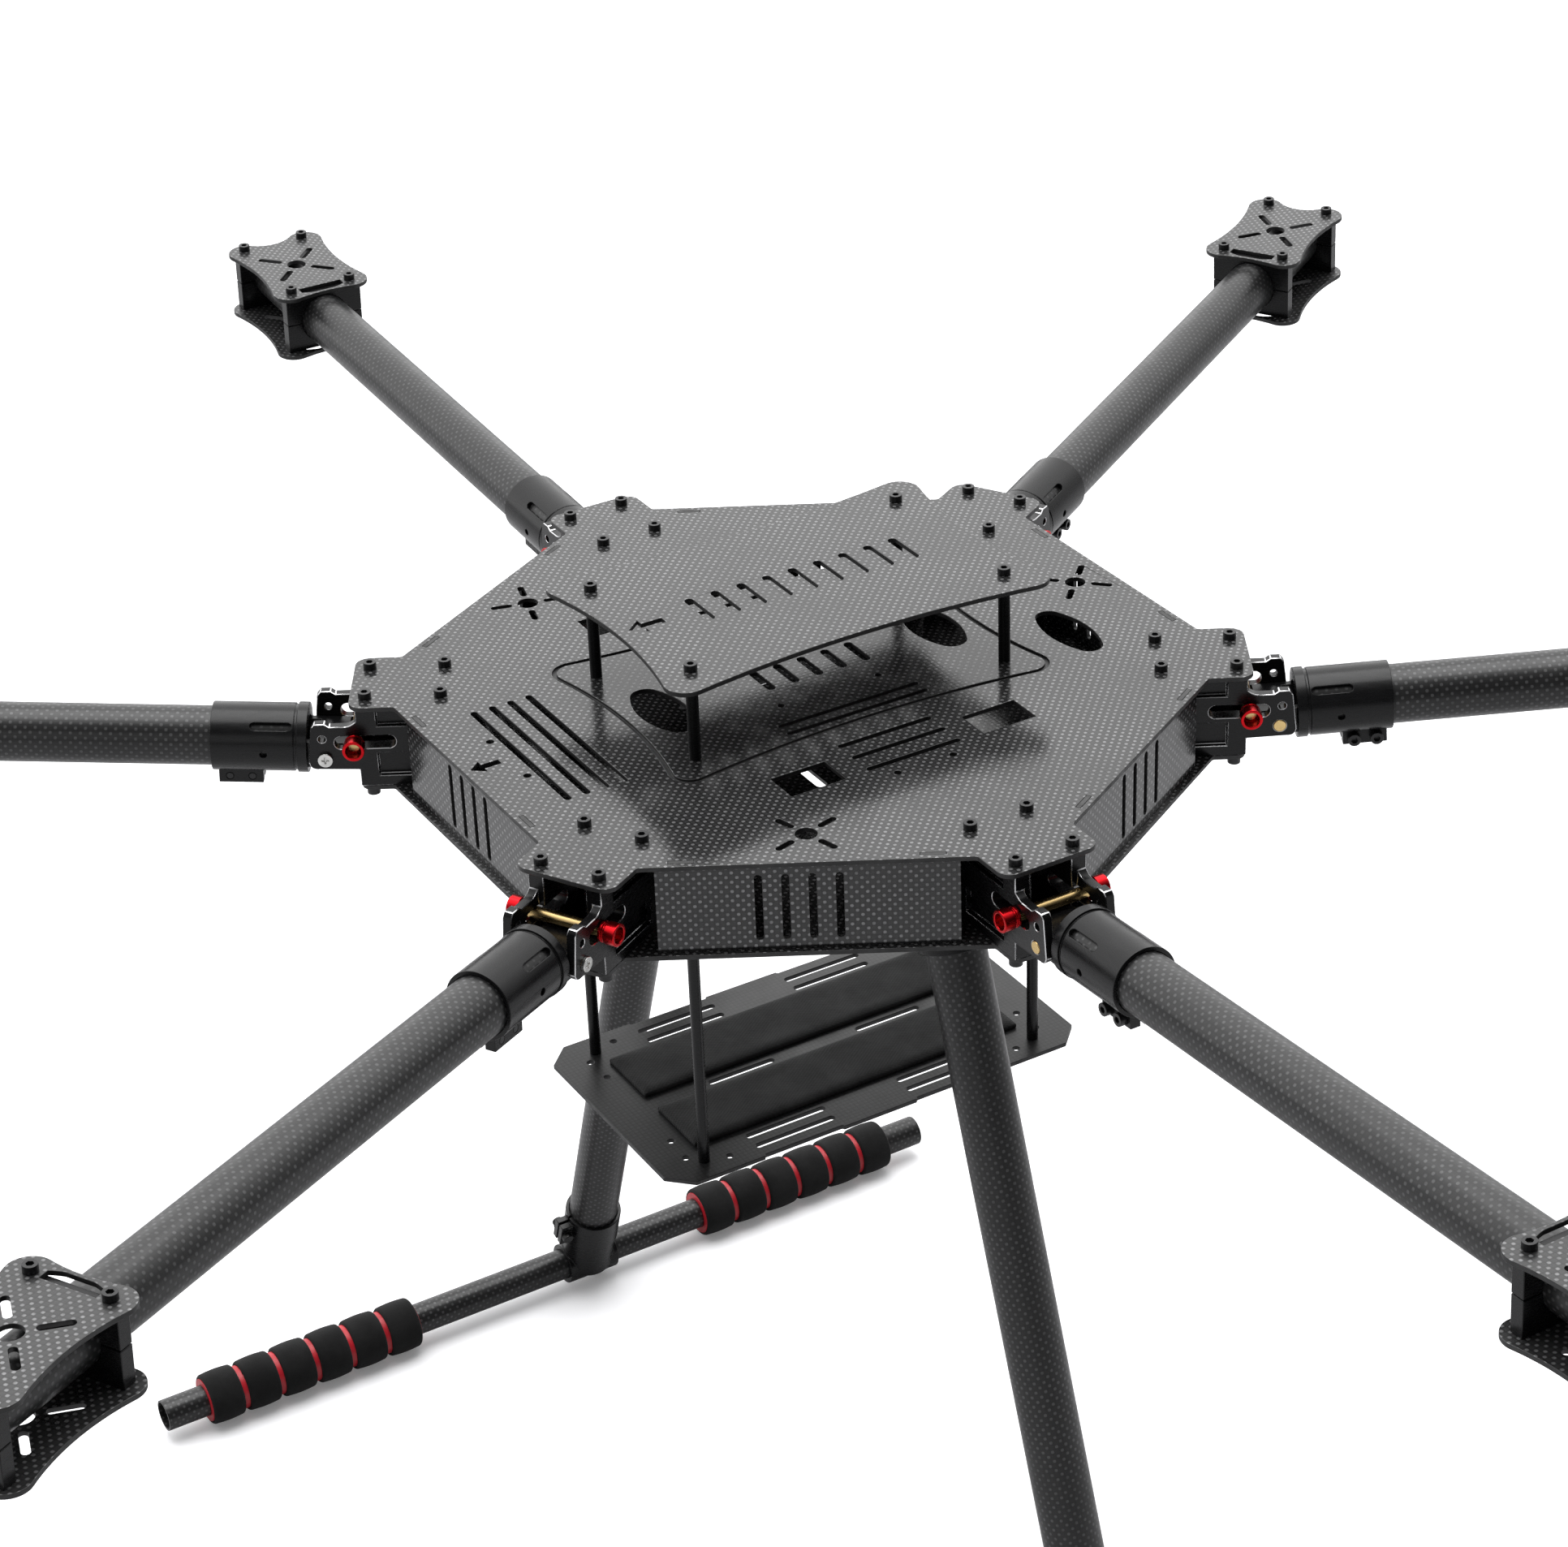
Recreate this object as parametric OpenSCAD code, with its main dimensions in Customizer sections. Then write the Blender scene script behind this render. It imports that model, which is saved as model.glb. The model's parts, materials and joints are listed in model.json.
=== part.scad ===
// Folding six-arm drone airframe.
// Two hexagonal carbon decks carry six folding arm brackets, an upper plate on posts,
// a battery tray hung below, and two splayed legs with padded skids.
// Units are millimetres, +Z is up, the nose points to -Y and the origin is on the floor.

/* [Hub decks] */
// distance from the hub centre to each flat side of the decks
hub_apothem = 156; // [120:1:200]
// thickness of every carbon plate
plate_t = 2; // [1.5:0.1:3]
// clear height between the two decks
deck_gap = 38; // [30:1:50]
// height of the lower deck's underside above the floor
hub_z = 435; // [380:1:500]
// radius reached by the top deck's lobes
top_lobe_r = 186.5; // [175:0.5:200]
// width of the top deck's lobes
top_lobe_w = 44; // [36:0.2:60]
// radius reached by the lower deck's lobes
low_lobe_r = 184.5; // [175:0.5:200]

/* [Side panels] */
// half length of one side panel
panel_half = 58.5; // [45:0.5:62]
// distance from the hub centre to a panel's middle plane
panel_r = 152.5; // [140:0.5:155]
// sideways offset of a panel's slots from its middle
slot_shift = 3.4; // [0:0.1:6]
// distance of a panel's tabs from its middle
tab_at = 48; // [35:1:52]
// length of a tab
tab_len = 10; // [6:0.5:14]

/* [Arm brackets] */
// overall width of a bracket
bracket_w = 32.6; // [30:0.2:40]
// gap between the fork's cheeks
fork_gap = 24.6; // [20:0.2:28]
// distance from the hub centre to a fold hinge
hinge_r = 198.3; // [190:0.1:210]
// height of a fold hinge above the lower deck's underside
hinge_h = 15.4; // [12:0.1:20]
// radius of a hinge pin
hinge_pin_r = 2.6; // [2:0.1:3.5]
// radius of the inner and outer deck screws' circle
screw_inner_r = 148.7; // [140:0.1:155]
// radius of the outer deck screws' circle
screw_outer_r = 180; // [170:0.1:185]
// sideways distance of a deck screw from the arm's centre line
screw_y = 13; // [10:0.1:14]

/* [Fold locks] */
// distance of the lock pin inboard of the hinge
lock_in = 12.8; // [10:0.1:15]
// height of the lock pin above the hinge
lock_up = 7.4; // [5:0.1:10]
// radius of a lock pin
lock_pin_r = 2.5; // [2:0.1:3]
// how far a lock pin slides while its arm folds through 90 degrees
lock_travel = 12; // [8:0.5:14]
// distance of a lock knob's outer end from the arm's centre line
knob_end = 24.2; // [22:0.1:28]
// radius of a lock knob
knob_r = 4.6; // [4:0.1:6]

/* [Arms] */
// upward tilt of an arm
arm_tilt = 3.5; // [0:0.1:6]
// outer radius of an arm tube
tube_r = 12.5; // [10:0.5:15]
// wall thickness of an arm tube
tube_wall = 1; // [0.8:0.1:2]
// height of the tube's axis above the hinge
tube_up = 1.4; // [0:0.1:3]
// distance along the arm from the hinge to the motor mount's centre
motor_at = 309.3; // [250:0.1:400]
// distance from the motor mount's centre to the tube's end
tube_past = 34; // [20:1:45]
// outer radius of an arm sleeve
sleeve_r = 14.4; // [13.5:0.1:16]
// distance from the hinge to a sleeve's outer end
sleeve_end = 48; // [40:0.5:60]

/* [Motor mounts] */
// distance of the mount screws from the centre along the arm
mount_x = 29.3; // [20:0.1:35]
// distance of the mount screws from the centre across the arm
mount_y = 16.1; // [14:0.1:20]
// half the clear height between a mount's two plates
mount_half = 15; // [14:0.1:18]
// radius of the mount's centre hole
mount_hole_r = 4.7; // [3:0.1:6]
// thickness of a tube clamp along the arm
clamp_t = 6; // [4:0.5:10]

/* [Upper plate] */
// height of the posts under the upper plate
post_h = 38; // [20:1:60]
// distance of the posts from the centre, left and right
post_x = 41.7; // [30:0.1:50]
// distance of the posts from the centre, front and back
post_y = 73.9; // [60:0.1:85]

/* [Battery tray] */
// height of the tray's top surface above the floor
tray_z = 288; // [250:1:350]
// half width of the tray
tray_x = 60; // [45:0.5:80]
// half length of the tray
tray_y = 103.5; // [80:0.5:120]
// distance of the hangers from the centre, left and right
hanger_x = 48.4; // [35:0.1:55]
// distance of the hangers from the centre, front and back
hanger_y = 83.3; // [60:0.1:95]
// thickness of the battery pads
pad_t = 3; // [1:0.5:6]

/* [Landing gear] */
// radius of a leg tube
leg_r = 12.5; // [10:0.5:15]
// outward splay of a leg
leg_splay = 18.8; // [0:0.1:30]
// distance from the centre to a skid tube's axis
skid_x = 249; // [200:1:300]
// radius of a skid tube
skid_r = 8; // [6:0.5:10]
// length of a skid tube
skid_len = 444; // [300:1:500]
// forward offset of a skid's middle from its leg
skid_shift = 17; // [0:1:40]
// outer radius of a foam grip, and so the height of the skid's axis
grip_r = 13.6; // [12:0.1:18]
// length of a foam grip
grip_len = 118; // [80:1:160]
// distance between the middles of a skid's two grips
grip_spread = 284; // [200:1:320]

/* [Output] */
// which node to draw, or all of them

/* [Hidden] */

$fn = 48;
arm_step = 60;
low_top = hub_z + plate_t;
deck_top = low_top + deck_gap;
hub_top = deck_top + plate_t;
hinge_z = hub_z + hinge_h;
lock_r = hinge_r - lock_in;
lock_z = hinge_z + lock_up;
upper_z = hub_top + post_h;
skid_z = grip_r;
leg_top_x = skid_x - (hub_z - skid_z) * tan(leg_splay);
leg_len = (hub_z - skid_z) / cos(leg_splay);
m3_r = 1.5;
m3_hole_r = 1.6;
m3_head_r = 2.75;
m3_head_h = 3;
fit = 0.05;
over = 1;

carbon = [0.20, 0.20, 0.21];
tube_black = [0.16, 0.16, 0.17];
anodised = [0.06, 0.06, 0.065];
screw_black = [0.08, 0.08, 0.08];
red = [0.78, 0.05, 0.06];
brass = [0.85, 0.68, 0.36];
silver = [0.78, 0.78, 0.76];
foam = [0.09, 0.09, 0.09];

// ---- shared shapes ----

// repeats its children once for each of the six arms
module each_arm() {
    for (i = [0:5]) rotate(arm_step * i) children();
}

// repeats its children in the four corners at +-x, +-y
module corners4(x, y) {
    for (sx = [-1, 1], sy = [-1, 1]) translate([sx * x, sy * y, 0]) children();
}

// flat slot along X, centred, with round ends
module slot2d(len, w) {
    square([len - w, w], center = true);
    for (s = [-1, 1]) translate([s * (len - w) / 2, 0]) circle(r = w / 2);
}

// flat rectangle with round corners
module round_rect(x, y, r) {
    square([x - 2 * r, y], center = true);
    square([x, y - 2 * r], center = true);
    corners4(x / 2 - r, y / 2 - r) circle(r = r);
}

// oval of four arcs: half length a, half width b, end radius r
module oval2d(a, b, r) {
    side_r = (pow(a - r, 2) + b * b - r * r) / (2 * (b - r));
    join_x = (a - r) * side_r / (side_r - r);
    intersection() {
        translate([0, b - side_r]) circle(r = side_r, $fn = 96);
        translate([0, side_r - b]) circle(r = side_r, $fn = 96);
        square([2 * join_x, 4 * b], center = true);
    }
    for (s = [-1, 1]) translate([s * (a - r), 0]) circle(r = r);
}

// radius of a side that bows in to the distance w and runs smoothly into corner circles
function bay_r(a, b, r, w) = (a * a + pow(w - b, 2) - r * r) / (2 * (r - w + b));

// plate with corner circles r at (+-a, +-b) and sides that bow in:
// to the distances ends[0] on +X and ends[1] on -X, and to side on both Y sides
module bayed2d(a, b, r, ends, side) {
    side_r = bay_r(a, b, r, side);
    end_r = [for (w = ends) bay_r(b, a, r, w)];
    lap = 0.1;
    difference() {
        union() {
            square([2 * a, 2 * b], center = true);
            corners4(a, b) circle(r = r);
            square([2 * a * side_r / (side_r + r) + lap, 2 * (b + r)], center = true);
            for (k = [0, 1]) translate([(1 - 2 * k) * (a + r) / 2, 0])
                square([a + r, 2 * b * end_r[k] / (end_r[k] + r) + lap], center = true);
        }
        for (s = [-1, 1]) translate([0, s * (side + side_r)]) circle(r = side_r, $fn = 96);
        for (k = [0, 1]) translate([(1 - 2 * k) * (ends[k] + end_r[k]), 0])
            circle(r = end_r[k], $fn = 96);
    }
}

// round hole and four diagonal slots for an accessory
module star2d(hole_r, slot_in, slot_out, slot_w) {
    circle(r = hole_r);
    for (a = [45:90:315])
        rotate(a) translate([(slot_in + slot_out) / 2, 0]) slot2d(slot_out - slot_in, slot_w);
}

// flat arrow pointing to -Y
module arrow2d(len, w) {
    translate([0, w / 2]) square([w, len - w], center = true);
    polygon([[-1.3 * w, -len / 2 + 1.6 * w], [1.3 * w, -len / 2 + 1.6 * w], [0, -len / 2]]);
}

// socket head cap screw pointing down, head sitting on z = 0
module cap_screw(len, head_h = m3_head_h) {
    difference() {
        cylinder(r = m3_head_r, h = head_h);
        translate([0, 0, head_h - 1.6]) cylinder(r = 1.45, h = 2, $fn = 6);
    }
    translate([0, 0, -len]) cylinder(r = m3_r, h = len + 0.2);
}

// frame of one arm at its fold hinge: X runs out along the arm, Y across it
module arm_frame(i) {
    rotate(arm_step * (i - 1)) translate([hinge_r, 0, hinge_z]) rotate([0, -arm_tilt, 0])
        children();
}

// ---- hub decks ----

// fill that rounds a reflex corner of 120 degrees, opening along +X
module reflex2d(r) {
    polygon(concat([[-1, 0]], [for (t = [210:-12:150]) [r / sin(60) + r * cos(t), r * sin(t)]]));
}

// hexagon with one lobe toward each arm, a fillet in each inner corner
module deck2d(lobe_r, lobe_w, corner_r, fillet_r = 1.6) {
    half = lobe_w / 2;
    reflex_r = (hub_apothem - half * sin(30)) / cos(30);
    circle(r = hub_apothem / cos(30), $fn = 6);
    each_arm() {
        translate([lobe_r / 2, 0]) square([lobe_r, lobe_w - 2 * corner_r], center = true);
        translate([(lobe_r - corner_r) / 2, 0]) square([lobe_r - corner_r, lobe_w], center = true);
        for (s = [-1, 1]) {
            translate([lobe_r - corner_r, s * (half - corner_r)]) circle(r = corner_r);
            translate([reflex_r, s * half]) rotate(60 * s) reflex2d(fillet_r);
        }
    }
}

// holes shared by both decks: bracket screws, panel tabs and hangers
module deck_common2d() {
    each_arm() for (r = [screw_inner_r, screw_outer_r], s = [-1, 1])
        translate([r, s * screw_y]) circle(r = m3_hole_r, $fn = 24);
    each_arm() rotate(arm_step / 2) for (s = [-1, 1])
        translate([panel_r, s * tab_at]) square([plate_t + 0.2, tab_len + 0.2], center = true);
}

// slots, cable holes and cut-outs of the top deck
module top_cuts2d() {
    // three accessory stars, the rear one set further out
    for (a = [90, 210, 330]) rotate(a) translate([a == 90 ? 138.3 : 134.6, 0])
        star2d(4.4, 7, 16.2, 2.8);
    // four long strap slots across the nose
    for (k = [0:3]) translate([0, -105.7 - 8.4 * k]) slot2d(85, 2.9);
    // strap slots and cable windows on both flanks
    for (s = [-1, 1]) {
        for (x = [66, 76.8, 87.8]) translate([s * x, 0]) rotate(90) slot2d(44, 2.7);
        for (x = [38.4, 45.4]) translate([s * x, 0]) rotate(90) slot2d(67, 2.4);
        for (t = [-1, 1]) translate([s * 81, t * 45]) square([16.5, 25], center = true);
        for (t = [-1, 1]) translate([s * 96.5, t * 13]) circle(r = 1.6, $fn = 24);
        translate([0, s * 65.6]) oval2d(20.6, 10.2, 6.6);
        translate([s * 35.8, 110.4]) oval2d(20.7, 9.3, 6);
        for (t = [-1, 1]) translate([s * 23.6, t * 23.4]) circle(r = 1.5, $fn = 24);
        translate([s * 16.4, -136]) circle(r = 1.6, $fn = 24);
    }
    // plain bars where a nameplate would sit
    for (k = [-2:2]) translate([1, 4 + 11.5 * k]) slot2d(18, 3.8);
    // nose arrow
    translate([0, -146.5]) arrow2d(13, 3.4);
}

// shallow line that matches the upper plate's outline
module seam2d() {
    difference() {
        upper2d();
        upper2d(2);
    }
}

module hub_top_plate() {
    color(carbon) difference() {
        translate([0, 0, deck_top]) linear_extrude(plate_t) difference() {
            deck2d(top_lobe_r, top_lobe_w, 6);
            deck_common2d();
            top_cuts2d();
            corners4(post_x, post_y) circle(r = m3_hole_r, $fn = 24);
        }
        translate([0, 0, hub_top - 1.2]) linear_extrude(2) seam2d();
    }
}

// slots and openings of the lower deck
module low_cuts2d() {
    for (s = [-1, 1]) translate([0, s * 8]) slot2d(60, 5);
    for (s = [-1, 1], t = [-1, 1]) translate([s * leg_top_x + t * 17, 0])
        for (u = [-1, 1]) translate([0, u * 14]) circle(r = m3_hole_r, $fn = 24);
    for (s = [-1, 1]) translate([s * 62, 0]) rotate(90) slot2d(50, 3);
}

module hub_bottom_plate() {
    color(carbon) translate([0, 0, hub_z]) linear_extrude(plate_t) difference() {
        deck2d(low_lobe_r, bracket_w, 4);
        deck_common2d();
        low_cuts2d();
        corners4(hanger_x, hanger_y) circle(r = m3_hole_r, $fn = 24);
    }
}

// ---- side panels ----

module side_panels() {
    color(carbon) for (i = [0:5]) rotate(arm_step * (i + 0.5))
        translate([panel_r + plate_t / 2, 0, low_top]) rotate([90, 0, -90])
        linear_extrude(plate_t) difference() {
            union() {
                translate([-panel_half, 0]) square([2 * panel_half, deck_gap]);
                for (s = [-1, 1]) translate([s * tab_at - tab_len / 2, -plate_t])
                    square([tab_len, deck_gap + 2 * plate_t]);
            }
            shift = (i < 3 ? -1 : 1) * slot_shift;
            for (k = [-1.5:1:1.5]) translate([10.4 * k + shift, deck_gap / 2]) rotate(90)
                slot2d(29, 3);
        }
}

// ---- arm brackets ----

cheek_in = 142;
thick_in_y = 9.5;
lobe_low = hinge_z - 4.8;
lobe_high = hinge_z + 16.4;
scoop_r = 6.5;
scoop_x = 189.5;

// side outline of a bracket: X out along the arm, Y up
module cheek2d() {
    tip_r = 3;
    difference() {
        union() {
            translate([cheek_in, low_top]) square([low_lobe_r - cheek_in, deck_gap]);
            polygon([[low_lobe_r - 1, lobe_low - 0.8], [202, lobe_low], [205.3, lobe_low + tip_r],
                     [203.4, lobe_high - 2], [201.8, lobe_high], [197.5, lobe_high],
                     [195.5, lobe_high - 1.5], [scoop_x, lobe_high - 1.5],
                     [low_lobe_r - 1, deck_top - 3]]);
            translate([202.2, lobe_low + tip_r]) circle(r = tip_r);
        }
        translate([scoop_x, lobe_high - 1.5 + scoop_r]) circle(r = scoop_r);
    }
}

// one cheek's outline pulled to a thickness, from y_in out to the bracket's side
module cheek(y_in, side) {
    y_out = bracket_w / 2;
    translate([0, side > 0 ? y_out : -y_in, 0]) rotate([90, 0, 0])
        linear_extrude(y_out - y_in) children();
}

// tall box between two radii, two half widths and two heights
module between(x0, x1, y, z0, z1) {
    translate([x0, -y, z0]) cube([x1 - x0, 2 * y, z1 - z0]);
}

module bracket_solid() {
    for (side = [-1, 1]) {
        cheek(fork_gap / 2, side) cheek2d();
        cheek(thick_in_y, side) translate([cheek_in, low_top])
            square([low_lobe_r - cheek_in, deck_gap]);
    }
    between(cheek_in, low_lobe_r, thick_in_y + 1, low_top, low_top + 3);
    between(cheek_in, 181, thick_in_y + 1, deck_top - 3, deck_top);
    difference() {
        between(153, 157, thick_in_y + 1, low_top, deck_top);
        translate([150, 0, low_top + deck_gap / 2]) rotate([0, 90, 0]) cylinder(r = 7, h = 10);
    }
    // brow above the lock pin's travel
    between(166, 169, thick_in_y + 1, lock_z + 5, deck_top);
}

module bracket_cuts() {
    half = bracket_w / 2;
    // lock slot through both cheeks
    translate([181.2, half + over, lock_z]) rotate([90, 0, 0])
        linear_extrude(bracket_w + 2 * over) slot2d(25.5, 6);
    // hinge bore
    translate([hinge_r, half + over, hinge_z]) rotate([90, 0, 0])
        cylinder(r = hinge_pin_r + fit, h = bracket_w + 2 * over);
    for (s = [-1, 1]) {
        // sight hole above the hinge
        translate([199, s * half, lock_z + 2]) rotate([90, 0, 0])
            cylinder(r = 1.6, h = 10, center = true, $fn = 24);
        // upper and lower pockets in each side
        translate([150, s * half - (s > 0 ? 2.6 : 0), hinge_z + 14.5]) cube([26, 2.6, 8.5]);
        translate([150, s * half - (s > 0 ? 2.6 : 0), hinge_z - 8.8]) cube([26.5, 2.6, 11]);
        for (r = [screw_inner_r, screw_outer_r]) translate([r, s * screw_y, 0]) {
            translate([0, 0, deck_top - 10]) cylinder(r = m3_r + fit, h = 10 + over, $fn = 24);
            translate([0, 0, low_top - over]) cylinder(r = m3_r + fit, h = 10 + over, $fn = 24);
        }
    }
}

module arm_brackets() {
    color(anodised) each_arm() difference() {
        bracket_solid();
        bracket_cuts();
    }
}

// brass pin, flush on one side and drilled for its screw on the other
module hinge_pins() {
    half = bracket_w / 2;
    color(brass) each_arm() translate([hinge_r, half, hinge_z]) rotate([90, 0, 0]) difference() {
        cylinder(r = hinge_pin_r, h = bracket_w + 0.3);
        translate([0, 0, -over]) cylinder(r = 1.4, h = 9, $fn = 24);
    }
}

// cross-head screw in the end of each hinge pin
module hinge_pin_screws() {
    half = bracket_w / 2;
    color(silver) each_arm() translate([hinge_r, half + 0.05, hinge_z]) rotate([-90, 0, 0]) {
        difference() {
            cylinder(r = 3.1, h = 1.5);
            for (a = [0, 90]) rotate(a) translate([-1.5, -0.35, 0.7]) cube([3, 0.7, 2]);
        }
        translate([0, 0, -6]) cylinder(r = 1.35, h = 6.2, $fn = 24);
    }
}

// deck screws from above and below, upper-plate screws and tray screws
module hub_screws() {
    color(screw_black) {
        each_arm() for (r = [screw_inner_r, screw_outer_r], s = [-1, 1]) {
            translate([r, s * screw_y, hub_top]) cap_screw(9);
            translate([r, s * screw_y, hub_z]) mirror([0, 0, 1]) cap_screw(9);
        }
        corners4(post_x, post_y) {
            translate([0, 0, upper_z + plate_t]) cap_screw(9);
            translate([0, 0, deck_top]) mirror([0, 0, 1]) cap_screw(9);
        }
        corners4(hanger_x, hanger_y) {
            translate([0, 0, low_top]) cap_screw(9);
            translate([0, 0, tray_z - plate_t]) mirror([0, 0, 1]) cap_screw(9);
        }
        for (s = [-1, 1], t = [-17, 17], u = [-14, 14])
            translate([s * leg_top_x + t, u, low_top]) cap_screw(5);
    }
}

// ---- upper plate ----

// outline of the upper plate, drawn in by an inset
module upper2d(inset = 0) {
    waist = post_x + 10.3 - inset;
    bayed2d(post_x + 7.8, post_y + 6.6, 9 - inset, [waist, waist], post_y + 9.6 - inset);
}

module upper_plate() {
    color(carbon) translate([0, 0, upper_z]) linear_extrude(plate_t) difference() {
        upper2d();
        corners4(post_x, post_y) circle(r = m3_hole_r, $fn = 24);
        translate([-1.5, -70]) arrow2d(16, 4.2);
        // plain bars where a nameplate would sit
        for (k = [-4:4]) translate([-1.5, 3.5 + 12.2 * k]) slot2d(21, 3.8);
    }
}

module upper_plate_posts() {
    color(screw_black) corners4(post_x, post_y) translate([0, 0, hub_top]) difference() {
        cylinder(r = 2.5, h = post_h);
        translate([0, 0, -over]) cylinder(r = m3_r + fit, h = 9 + over, $fn = 24);
        translate([0, 0, post_h - 9]) cylinder(r = m3_r + fit, h = 9 + over, $fn = 24);
    }
}

// ---- battery tray ----

// middles of the strap slots along the tray
strap_y = [-40.5, 35.2];

// tray outline: chamfered corners, strap recesses along both long sides
module tray2d() {
    c = 10.2;
    difference() {
        polygon([[-tray_x + c, -tray_y], [tray_x - c, -tray_y], [tray_x, -tray_y + c],
                 [tray_x, tray_y - c], [tray_x - c, tray_y], [-tray_x + c, tray_y],
                 [-tray_x, tray_y - c], [-tray_x, -tray_y + c]]);
        for (s = [-1, 1], y = strap_y) {
            translate([s * tray_x, y]) round_rect(2.2, 39, 1);
            for (x = [43.6, 51.8]) translate([s * x, y]) rotate(90) slot2d(39, 3);
        }
        for (s = [-1, 1], t = [-1, 1]) {
            translate([s * 42.6, t * 88.9]) circle(r = 1.6, $fn = 24);
            translate([s * 51.6, t * 72.6]) circle(r = 1.6, $fn = 24);
            translate([s * 28.5, t * 88.2]) circle(r = 1.6, $fn = 24);
        }
        for (y = [-37, 38]) translate([0, y]) rotate(90) slot2d(33, 3);
        corners4(hanger_x, hanger_y) circle(r = m3_hole_r, $fn = 24);
    }
}

module battery_tray() {
    color(carbon) translate([0, 0, tray_z - plate_t]) linear_extrude(plate_t) tray2d();
}

module battery_tray_hangers() {
    len = hub_z - tray_z;
    color(screw_black) corners4(hanger_x, hanger_y) translate([0, 0, tray_z]) difference() {
        cylinder(r = 2.5, h = len);
        translate([0, 0, -over]) cylinder(r = m3_r + fit, h = 9 + over, $fn = 24);
        translate([0, 0, len - 9]) cylinder(r = m3_r + fit, h = 9 + over, $fn = 24);
    }
}

// two long pads side by side on the tray
module battery_pads() {
    color(foam) for (s = [-1, 1]) translate([s * 21.8, 0, tray_z]) linear_extrude(pad_t)
        round_rect(32.5, 164, 2);
}

// ---- landing gear ----

// frame of one leg: Z runs up the leg from the skid's axis
module leg_frame(side) {
    translate([side * skid_x, 0, skid_z]) rotate([0, -side * leg_splay, 0]) children();
}

// flanged socket under the lower deck, split collar round the leg
module leg_sockets() {
    color(anodised) for (side = [-1, 1]) difference() {
        union() {
            translate([side * leg_top_x, 0, hub_z - 4]) linear_extrude(4) round_rect(44, 38, 5);
            intersection() {
                leg_frame(side) translate([0, 0, leg_len - 34]) cylinder(r = 16, h = 60);
                translate([side * leg_top_x, 0, hub_z - 50]) cube([100, 100, 100], center = true);
            }
        }
        leg_frame(side) translate([0, 0, leg_len - 50])
            cylinder(r = leg_r + fit, h = 46, $fn = 64);
        for (t = [-17, 17], u = [-14, 14]) translate([side * leg_top_x + t, u, hub_z - 10])
            cylinder(r = m3_r + fit, h = 12, $fn = 24);
    }
}

module leg_tubes() {
    color(tube_black) for (side = [-1, 1]) leg_frame(side) translate([0, 0, 10]) difference() {
        cylinder(r = leg_r, h = leg_len - 15, $fn = 64);
        translate([0, 0, -over]) cylinder(r = leg_r - 1, h = leg_len, $fn = 64);
    }
}

// tee that joins a leg to its skid, with clamp ears and their bolts
module skid_tees() {
    collar_at = 22;
    tee_top = 41;
    color(anodised) for (side = [-1, 1]) leg_frame(side) difference() {
        union() {
            cylinder(r = 13.6, h = collar_at);
            translate([0, 0, collar_at]) cylinder(r = 14.4, h = tee_top - collar_at);
            rotate([90, 0, 0]) cylinder(r = 10.6, h = 28, center = true);
            translate([-4, -20, collar_at + 3]) cube([8, 8, 13]);
            translate([0, -17, collar_at + 9.5]) rotate([0, 90, 0])
                cylinder(r = 2.75, h = 14, center = true);
            translate([0, 6, -10]) rotate([0, 90, 0]) cylinder(r = 2, h = 11, center = true);
            translate([-4, 2, -12.4]) cube([8, 8, 6]);
        }
        translate([0, 0, 9.9]) cylinder(r = leg_r + fit, h = 40, $fn = 64);
        rotate([90, 0, 0]) cylinder(r = skid_r + fit, h = 40, center = true);
        translate([-0.5, -22, collar_at]) cube([1, 12, 30]);
    }
}

// repeats its children along each skid: origin on the axis at the skid's middle
module each_skid() {
    for (side = [-1, 1]) translate([side * skid_x, -skid_shift, skid_z]) children();
}

// cylinder along Y, centred
module y_cylinder(r, h) {
    rotate([90, 0, 0]) cylinder(r = r, h = h, center = true);
}

module skid_tubes() {
    color(tube_black) each_skid() difference() {
        y_cylinder(skid_r, skid_len);
        y_cylinder(skid_r - 1, skid_len + 2);
    }
}

grip_rings = 6;
grip_groove = 2.6;
grip_sleeve_r = 11.2;

// each grip: six soft rings on a coloured sleeve
module skid_grip_foam() {
    pitch = grip_len / grip_rings;
    color(foam) each_skid() for (s = [-1, 1], k = [0:grip_rings - 1])
        translate([0, s * grip_spread / 2 + (k - (grip_rings - 1) / 2) * pitch, 0]) difference() {
            y_cylinder(grip_r, pitch - grip_groove);
            y_cylinder(grip_sleeve_r + 0.02, pitch);
        }
}

module skid_grip_sleeves() {
    color(red) each_skid() for (s = [-1, 1]) translate([0, s * grip_spread / 2, 0]) difference() {
        y_cylinder(grip_sleeve_r, grip_len - grip_groove + 0.6);
        y_cylinder(skid_r + 0.02, grip_len + 2);
    }
}

// ---- folding arms ----

// cylinder along X from x0 to x1 on the tube's axis
module tube_cylinder(r, x0, x1) {
    translate([x0, 0, tube_up]) rotate([0, 90, 0]) cylinder(r = r, h = x1 - x0, $fn = 64);
}

sleeve_in = 8;
tube_in = 13.3;
tang_half = 11.8;
nose_half = 9;

module arm_tube(i) {
    color(tube_black) arm_frame(i) difference() {
        tube_cylinder(tube_r, tube_in, motor_at + tube_past);
        tube_cylinder(tube_r - tube_wall, tube_in - 1, motor_at + tube_past + 1);
    }
}

// distance of the retracting lock pin inboard of the hinge at fold angle t
function lock_x(t) = lock_in + lock_travel * t / 90;
// its distance from the hinge
function lock_dist(t) = sqrt(pow(lock_x(t), 2) + pow(lock_up, 2));
// its direction seen from the folding tang
function lock_angle(t) = 180 - atan(lock_up / lock_x(t)) + t;

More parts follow.
